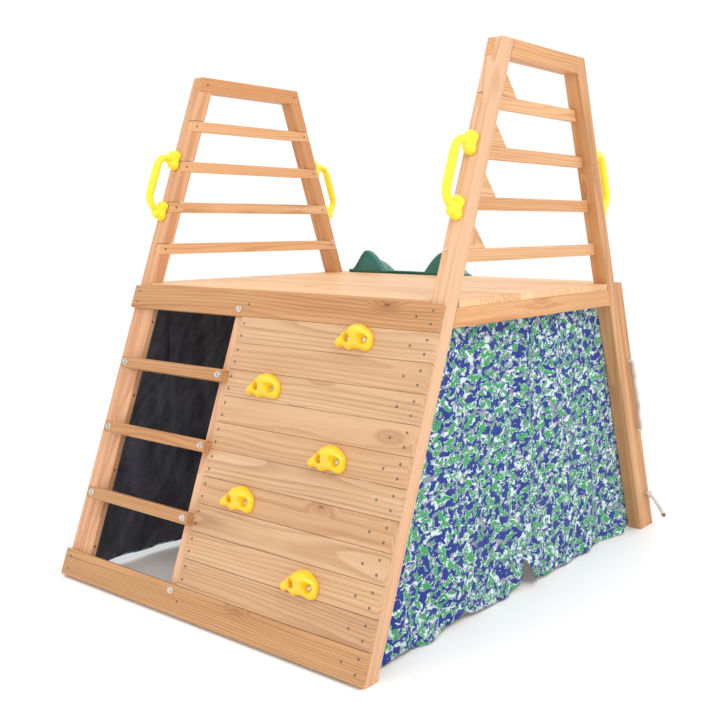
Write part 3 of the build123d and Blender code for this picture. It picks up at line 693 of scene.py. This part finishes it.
def make_slide(material):
    """Moulded slide: two domed rails beside a flat chute, closed at both ends."""
    low, high = node_box("slide")
    middle, half = (low.x + high.x) / 2, (high.x - low.x) / 2
    start, end = low.y, high.y
    top, level = DECK_TOP + 0.009, 0.092            # chute height on the deck and at the run-out
    peak, chute, rise = 0.190, 0.102, 0.080         # rail's crest, half of the chute, shoulder height
    low_rail = 0.045 / rise                         # rail height along the chute, as a share
    hem, hem_drop = 0.006, 0.012                    # the turned-down outer edge
    lip, bend, run_out, foot_bend = 0.574, 0.065, 0.24, 0.32

    def section(x):
        a = abs(x)
        if a <= chute:
            return 0.0015 * (a / chute) ** 2
        if a <= peak:
            return rise * (1 - ((peak - a) / (peak - chute)) ** 1.75)
        t = min((a - peak) / (half - hem - peak), 1)
        return rise * (1 - t * t * (3 - 2 * t))

    # The line of the chute in Y and Z, with its two bends rounded.
    corners = [Vector(p) for p in ((start, top), (lip, top), (end - run_out, level), (end, level))]
    path = [corners[0]]
    for i, radius in ((1, bend), (2, foot_bend)):
        before = (corners[i] - corners[i - 1]).normalized()
        after = (corners[i + 1] - corners[i]).normalized()
        turn = before.angle(after)
        reach = radius * np.tan(turn / 2)
        inward = (after - before).normalized()
        centre = corners[i] + inward * (radius / cos(turn / 2))
        first = corners[i] - before * reach
        previous = path[-1]
        steps = max(2, int((first - previous).length / 0.03))
        path += [previous.lerp(first, k / steps) for k in range(1, steps + 1)]
        spoke = first - centre
        way = 1 if before.cross(after) > 0 else -1
        for k in range(1, 13):
            a = way * turn * k / 12
            turned = (spoke.x * cos(a) - spoke.y * sin(a), spoke.x * sin(a) + spoke.y * cos(a))
            path.append(centre + Vector(turned))
    previous = path[-1]
    path += [previous.lerp(corners[3], k / 8) for k in range(1, 9)]
    columns = sorted({round(float(x), 5) for x in np.concatenate([
        np.linspace(-half, half, 121), [-chute, chute, -peak, peak],
    ])})
    # Rows across the slide: place, share of the shoulder height, normal, and whether on an end wall.
    upright = Vector((0, 1))
    front_wall = (
        (0.0, 0.0), (0.02, 0.0), (0.45, -0.0015), (0.8, -0.0005),
        (0.93, 0.0012), (0.985, 0.004), (1.0, 0.009),
    )
    shoulder_back = ((0.026, 0.08), (0.029, 0.25), (0.031, 0.5), (0.033, 0.75), (0.036, 0.93), (0.040, 1.0))
    rows = [(path[0] + Vector((back, 0)), share, upright, True) for share, back in front_wall]
    rows += [(path[0] + Vector((back, 0)), 1.0, upright, False) for back in (0.016, 0.022)]
    for back, fall in shoulder_back:
        rows.append((path[0] + Vector((back, 0)), 1 - (1 - low_rail) * fall, upright, False))
    for i in range(1, len(path) - 1):
        ahead = (path[i + 1] - path[i - 1]).normalized()
        if (path[i] - path[0]).length > 0.043 and (path[-1] - path[i]).length > 0.012:
            rows.append((path[i], low_rail, Vector((-ahead.y, ahead.x)), False))
    for share, back in ((1.0, -0.009), (0.985, -0.004), (0.93, -0.0012), (0.5, 0.0), (0.0, 0.0)):
        rows.append((path[-1] + Vector((back, 0)), share * low_rail, upright, True))
    vertices = []
    for i, (point, share, normal, wall) in enumerate(rows):
        for x in columns:
            h = section(x) * share
            skirt = 0.0
            edge = half - abs(x)
            if edge < hem and not (wall and share < 0.5):
                skirt = -hem_drop * (1 - edge / hem)
            base = point + normal * (h + skirt)
            if i == 0:
                base = Vector((start, DECK_TOP + SLIDE_GAP))
            if i == len(rows) - 1:
                base = Vector((end, 0.0))
            vertices.append((TOWER.x + middle + x, TOWER.y + base.x, base.y))
    n = len(columns)
    faces = [
        (r * n + c, r * n + c + 1, (r + 1) * n + c + 1, (r + 1) * n + c)
        for r in range(len(rows) - 1) for c in range(n - 1)
    ]
    piece = mesh_piece("moulded_slide", vertices, faces, [material])
    shell = piece.modifiers.new("shell", "SOLIDIFY")
    shell.thickness = SLIDE_SKIN
    shell.offset = -1
    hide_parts("slide")
    return piece


# ---------------------------------------------------------------- hand grips
GRIP_LOW, GRIP_HIGH = 1.190, 1.437      # ends of a grip, up the leg from its foot
GRIP_BAR = 0.0122                       # radius of its bar
GRIP_LOBE = 0.0165                      # and of its lobes
GRIP_SEAT = 0.0006                      # its flat back, off the leg


def curve_between(p0, p1, p2, p3, t):
    """Point of the smooth curve through p1 and p2, t of the way from p1."""
    return 0.5 * (2 * p1 + (p2 - p0) * t + (2 * p0 - 5 * p1 + 4 * p2 - p3) * t**2
                  + (3 * p1 - p0 - 3 * p2 + p3) * t**3)


def make_grips(material):
    """Four moulded C-shaped grips with finger ridges and capped lobes at each end."""
    low, high = GRIP_LOW, GRIP_HIGH

    def at(v, w):
        return np.array((0.0, v, w))

    control = [
        at(high - 0.033, 0.008), at(high - 0.035, 0.026), at(high - 0.040, 0.050), at(high - 0.055, 0.066),
        at(high - 0.078, 0.0725), at(high - 0.110, 0.0735), at(low + 0.095, 0.0735), at(low + 0.070, 0.0725),
        at(low + 0.050, 0.065), at(low + 0.036, 0.050), at(low + 0.029, 0.030), at(low + 0.026, 0.008),
    ]
    curve_points = []
    for i in range(len(control) - 1):
        p0, p1 = control[max(i - 1, 0)], control[i]
        p2, p3 = control[i + 1], control[min(i + 2, len(control) - 1)]
        for t in np.linspace(0, 1, 9)[:-1]:
            curve_points.append(curve_between(p0, p1, p2, p3, t))
    curve_points.append(control[-1])
    curve_points = np.array(curve_points)
    shells = [tube(curve_points, GRIP_BAR, 24)]
    # Finger ridges on the inner side of the bar.
    for v in np.arange(low + 0.082, high - 0.072, 0.0185):
        ring = [at(v - 0.004, 0.0685), at(v + 0.004, 0.0685)]
        shells.append(tube(ring, 0.0105, 20))
    for v in (high - 0.017, high - 0.050):
        shells.append(ball(at(v, 0.0155), GRIP_LOBE, (1, 1, 0.9)))
        shells.append(tube([at(v, 0.0012), at(v, 0.012)], GRIP_LOBE, 24, domed=False))
        shells.append(tube([at(v, 0.024), at(v, 0.030)], 0.0085, 20))
    for v in (low + 0.017, low + 0.050):
        shells.append(ball(at(v, 0.0155), GRIP_LOBE, (1, 1, 0.9)))
        shells.append(tube([at(v, 0.0012), at(v, 0.012)], GRIP_LOBE, 24, domed=False))
    shells.append(ball(at(low + 0.018, 0.030), 0.0150))
    shells.append(tube([at(high - 0.050, 0.008), at(high - 0.017, 0.008)], 0.0145, 20))
    shells.append(tube([at(low + 0.050, 0.008), at(low + 0.017, 0.008)], 0.0145, 20))
    flat_shells = []
    for vertices, faces in shells:
        flat_shells.append(([np.array((p[0], p[1], max(p[2], GRIP_SEAT))) for p in vertices], faces))
    mesh = fused_mesh("hand_grip", flat_shells, 0.0017, 4)
    mesh.materials.append(material)
    lap = HALF_WIDTH - TIMBER / 2
    for rear in (False, True):
        for side in (-1, 1):
            name = f"hand_grip_{'rear' if rear else 'front'}_{'left' if side < 0 else 'right'}"
            piece = bpy.data.objects.new(name, mesh)
            bpy.context.collection.objects.link(piece)
            piece.matrix_world = leaning_matrix(side * lap, 0, 0, rear)
            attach(piece, "root")
            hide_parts("hand_grips")


# ---------------------------------------------------------------- climbing holds
HOLD_PLACES = ((0.364, 0.858), (0.072, 0.6935), (0.364, 0.5275), (0.074, 0.3705), (0.366, 0.2005))
HOLD_OUTLINE = (
    (-65, -20), (-63, -28), (-54, -33), (-45, -33), (-36, -30), (-25, -33), (-13, -38), (-3, -35), (14, -32),
    (30, -34), (44, -36), (56, -33), (63, -24), (64, -8), (60, 8), (48, 19), (36, 27), (20, 34), (2, 34),
    (-18, 24), (-34, 11), (-48, -2), (-58, -12),
)
RECESSES = ((-0.014, -0.007, 0.0145), (0.040, -0.008, 0.0165))     # U, V and radius
RECESS_FLOOR, RECESS_BORE = 0.0075, 0.0072
PLANK_FACE = 0.0152             # the planks' outer face, off the legs' front faces
# Lumps on the crown: height, centre U and V, width in U and V.
HOLD_LUMPS = (
    (0.0195, 0.012, 0.014, 0.036, 0.024), (0.005, -0.048, -0.020, 0.016, 0.014),
    (0.004, 0.046, -0.018, 0.018, 0.014), (0.003, -0.012, -0.028, 0.012, 0.010),
)


def make_holds(material):
    """Five lumpy resin holds with a low tail, lobes along the lower edge and two bolt recesses."""
    outline = np.array(HOLD_OUTLINE) / 1000
    count = len(outline)
    loop = []
    for i in range(count):
        p0, p1, p2, p3 = (outline[(i + k) % count] for k in (-1, 0, 1, 2))
        for t in (0, 0.2, 0.4, 0.6, 0.8):
            loop.append(curve_between(p0, p1, p2, p3, t))
    loop = np.array(loop)
    peak = np.array((0.010, 0.004))
    fractions = [0.0, 0.0, 0.01, 0.03, 0.06, 0.10, 0.15] + list(np.linspace(0.2, 0.98, 34))
    vertices = []
    for ring, f in enumerate(fractions):
        for u, v in loop * (1 - f) + peak * f:
            crown = 0.0200
            for lump, lump_u, lump_v, wide, tall in HOLD_LUMPS:
                crown += lump * exp(-(((u - lump_u) / wide) ** 2) - (((v - lump_v) / tall) ** 2))
            crown += 0.0022 * noise.noise(Vector((u * 60, v * 60, 2.5)))
            w = crown * (1 - (1 - f) ** 2.8) ** 0.5 if ring else 0.0
            w += 0.003 if ring > 1 else 0.0
            for a, b, r in RECESSES:
                d = ((u - a) ** 2 + (v - b) ** 2) ** 0.5
                cut = 1 - float(smooth_step(d, RECESS_BORE, r))
                w = w * (1 - cut) + min(w, RECESS_FLOOR) * cut
            vertices.append((u, v, w))
    sides = len(loop)
    vertices.append((peak[0], peak[1], vertices[-1][2]))
    faces = []
    for r in range(len(fractions) - 1):
        for k in range(sides):
            a, b = r * sides + k, r * sides + (k + 1) % sides
            faces.append((a, b, b + sides, a + sides))
    last = (len(fractions) - 1) * sides
    faces += [(last + k, last + (k + 1) % sides, len(vertices) - 1) for k in range(sides)]
    faces.append(tuple(reversed(range(sides))))
    for number, (x, v) in enumerate(HOLD_PLACES, 1):
        piece = mesh_piece(f"climbing_hold_{number}", vertices, faces, [material])
        piece.matrix_world = leaning_matrix(x, v, PLANK_FACE)
        finer = piece.modifiers.new("finer", "SUBSURF")
        finer.levels = finer.render_levels = 1
        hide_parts("climbing_holds")


# ---------------------------------------------------------------- rope
ROPE_DEPTH = 0.030              # rope's centre behind the rear legs' rear faces
ROPE_HEIGHTS = (0.130, 0.384, 0.643)
BIGHT = 0.0130                  # how far the rope stands off a post between two holes
SAG = 0.007                     # of each crossing
ROPE_STEP = 0.0022              # between the points that its strands follow
STRAND_REACH, STRAND_LAY = 0.0069, 0.026
KNOT_REACH, KNOT_LAY, KNOT_SIZE = 0.0058, 0.024, 0.0030


def rope_material():
    s = Shader("rope_fibre")
    where = s.add("ShaderNodeTexCoord").outputs["Object"]
    fibre = s.noise(s.vector("MULTIPLY", where, (1600, 1600, 700)), 1.0, 3.0, 0.6)
    soil = s.noise(where, 26.0, 3.0)
    tone = s.math("ADD", s.math("MULTIPLY", fibre, 0.5), s.math("MULTIPLY", soil, 0.5))
    s.put(s.out.inputs["Base Color"], s.ramp(tone, (0.3, (0.50, 0.47, 0.41)), (0.65, (0.78, 0.76, 0.71))))
    s.put(s.out.inputs["Roughness"], s.math("ADD", s.math("MULTIPLY", fibre, 0.2), 0.7))
    s.out.inputs["Sheen Weight"].default_value = 0.3
    s.out.inputs["Specular IOR Level"].default_value = 0.2
    s.bump(fibre, 0.5, 0.0006)
    return s.material


def spline_points(points):
    """Evenly spaced points of the smooth spline that follows a route, and their places along it."""
    curve = bpy.data.curves.new("route", "CURVE")
    curve.dimensions = "3D"
    curve.resolution_u = 16
    spline = curve.splines.new("NURBS")
    spline.points.add(len(points) - 1)
    for point, place in zip(spline.points, points):
        point.co = (*place, 1)
    spline.order_u = 3
    spline.use_endpoint_u = True
    holder = bpy.data.objects.new("route", curve)
    mesh = bpy.data.meshes.new_from_object(holder)
    line = np.array([v.co for v in mesh.vertices])
    bpy.data.objects.remove(holder)
    bpy.data.curves.remove(curve)
    bpy.data.meshes.remove(mesh)
    length = np.concatenate([[0], np.cumsum(np.linalg.norm(np.diff(line, axis=0), axis=1))])
    at = np.linspace(0, length[-1], int(length[-1] / ROPE_STEP) + 2)
    return np.stack([np.interp(at, length, line[:, k]) for k in range(3)], axis=1), at


def strands(points, along, radius, pitch, count=3):
    """The strands laid round a line, each a tube of its own."""
    direction = np.gradient(points, axis=0)
    direction /= np.linalg.norm(direction, axis=1)[:, None]
    side = np.cross(direction[0], (0.2, 0.1, 0.97))
    sides, others = [], []
    for d in direction:
        side = side - d * side.dot(d)
        side = side / np.linalg.norm(side)
        sides.append(side)
        others.append(np.cross(d, side))
    sides, others = np.array(sides), np.array(others)
    shells = []
    for k in range(count):
        a = tau * (along / pitch + k / count)
        offset = radius * 0.52 * (np.cos(a)[:, None] * sides + np.sin(a)[:, None] * others)
        shells.append(tube(points + offset, radius * 0.52, 9))
    return shells


def make_rope(material, tape):
    """One laid rope: knotted outside the right post, laced through both posts, knotted again."""
    post = node_box("rear_post_middle")
    left, right = post[0].x - BIGHT, HALF_WIDTH + BIGHT
    low_z, mid_z, high_z = ROPE_HEIGHTS

    def at(x, z, sag=0.0, out=0.0):
        return (TOWER.x + x, TOWER.y - front_at(z) + (ROPE_DEPTH + out) / cos(LEAN), z - sag)

    inside_right, inside_left = INNER - 0.004, post[1].x + 0.004
    face_right, face_left = HALF_WIDTH + 0.001, post[0].x - 0.001
    span = inside_right - inside_left
    route = [at(right - 0.001, low_z), at(face_right, low_z), at(inside_right, low_z)]
    route += [at(inside_right - span * k, low_z, SAG) for k in (0.3, 0.7)]
    route += [at(inside_left, low_z), at(face_left, low_z), at(left, low_z + 0.001), at(left, low_z + 0.022)]
    route += [at(left, (low_z + mid_z) / 2), at(left, mid_z - 0.022), at(left, mid_z - 0.001)]
    route += [at(face_left, mid_z), at(inside_left, mid_z)]
    route += [at(inside_left + span * k, mid_z, SAG) for k in (0.3, 0.7)]
    route += [at(inside_right, mid_z), at(face_right, mid_z)]
    route += [at(right, mid_z + 0.001), at(right, mid_z + 0.022)]
    route += [at(right + 0.002, (mid_z + high_z) / 2), at(right, high_z - 0.022), at(right, high_z - 0.001)]
    route += [at(face_right, high_z), at(inside_right, high_z)]
    route += [at(inside_right - span * k, high_z, SAG) for k in (0.3, 0.7)]
    route += [at(inside_left, high_z), at(face_left, high_z), at(left + 0.003, high_z)]
    tail = [
        at(right + 0.004, low_z - 0.004), at(right + 0.012, low_z - 0.018, out=0.002),
        at(right + 0.028, low_z - 0.045, out=0.002), at(right + 0.043, low_z - 0.080, out=0.002),
    ]
    far_tail = [
        at(left + 0.001, high_z - 0.004), at(left - 0.001, high_z - 0.020), at(left + 0.002, high_z - 0.060),
    ]
    shells = []
    for points in (route, tail, far_tail):
        line, along = spline_points(points)
        shells += strands(line, along, STRAND_REACH, STRAND_LAY)
    # An overhand knot at each end.
    for x, z in ((right + 0.001, low_z - 0.004), (left - 0.001, high_z - 0.004)):
        t = np.linspace(0, tau, 121)
        loop = np.stack([
            np.sin(3 * t) * KNOT_SIZE * 1.5,
            (np.cos(t) - 2 * np.cos(2 * t)) * KNOT_SIZE,
            (np.sin(t) + 2 * np.sin(2 * t)) * KNOT_SIZE * 1.15,
        ], axis=1) + np.array(at(x, z))
        steps = np.concatenate([[0], np.cumsum(np.linalg.norm(np.diff(loop, axis=0), axis=1))])
        shells += strands(loop, steps, KNOT_REACH, KNOT_LAY)
    vertices, faces = [], []
    for shell_vertices, shell_faces in shells:
        start = len(vertices)
        vertices += list(shell_vertices)
        faces += [tuple(i + start for i in face) for face in shell_faces]
    piece = mesh_piece("laid_rope", vertices, faces, [material])
    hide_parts("rope")
    for number, points in enumerate((tail, far_tail), 1):
        line, _ = spline_points(points)
        end, before = line[-1], line[-6]
        direction = (end - before) / np.linalg.norm(end - before)
        wrap = [end - direction * 0.004, end, end + direction * 0.002]
        cap_vertices, cap_faces = tube(wrap, 0.0074, 24)
        cap = mesh_piece(f"rope_end_{number}", cap_vertices, cap_faces, [tape])


make_camera()
make_stage()
dress_wood()
grip_yellow = plastic_material("grip_plastic", (0.97, 0.78, 0.018), (0.90, 0.64, 0.008), 0.24)
hold_yellow = plastic_material("hold_plastic", (0.97, 0.60, 0.012), (0.86, 0.42, 0.002), 0.25)
slide_green = plastic_material("slide_plastic", (0.005, 0.140, 0.115), (0.004, 0.10, 0.085), 0.2)
bolt_steel = metal_material("bolt_steel", (0.72, 0.71, 0.68), 0.22)
screw_steel = metal_material("screw_steel", (0.26, 0.21, 0.16), 0.38)
camo, lining = camo_material(), lining_material_painted_sheen()
make_wall(1, "camo_wall_right", camo, lining)
make_wall(-1, "camo_wall_left", camo, lining)
make_slide(slide_green)
make_grips(grip_yellow)
make_holds(hold_yellow)
rope_tape = plastic_material("rope_tape", (0.20, 0.13, 0.07), (0.10, 0.06, 0.03), 0.5)
make_rope(rope_material(), rope_tape)
paint("coach_bolts", bolt_steel)
paint("hold_bolts", bolt_steel)
paint("wood_screws", screw_steel)
paint("pan_head_screws", bolt_steel)
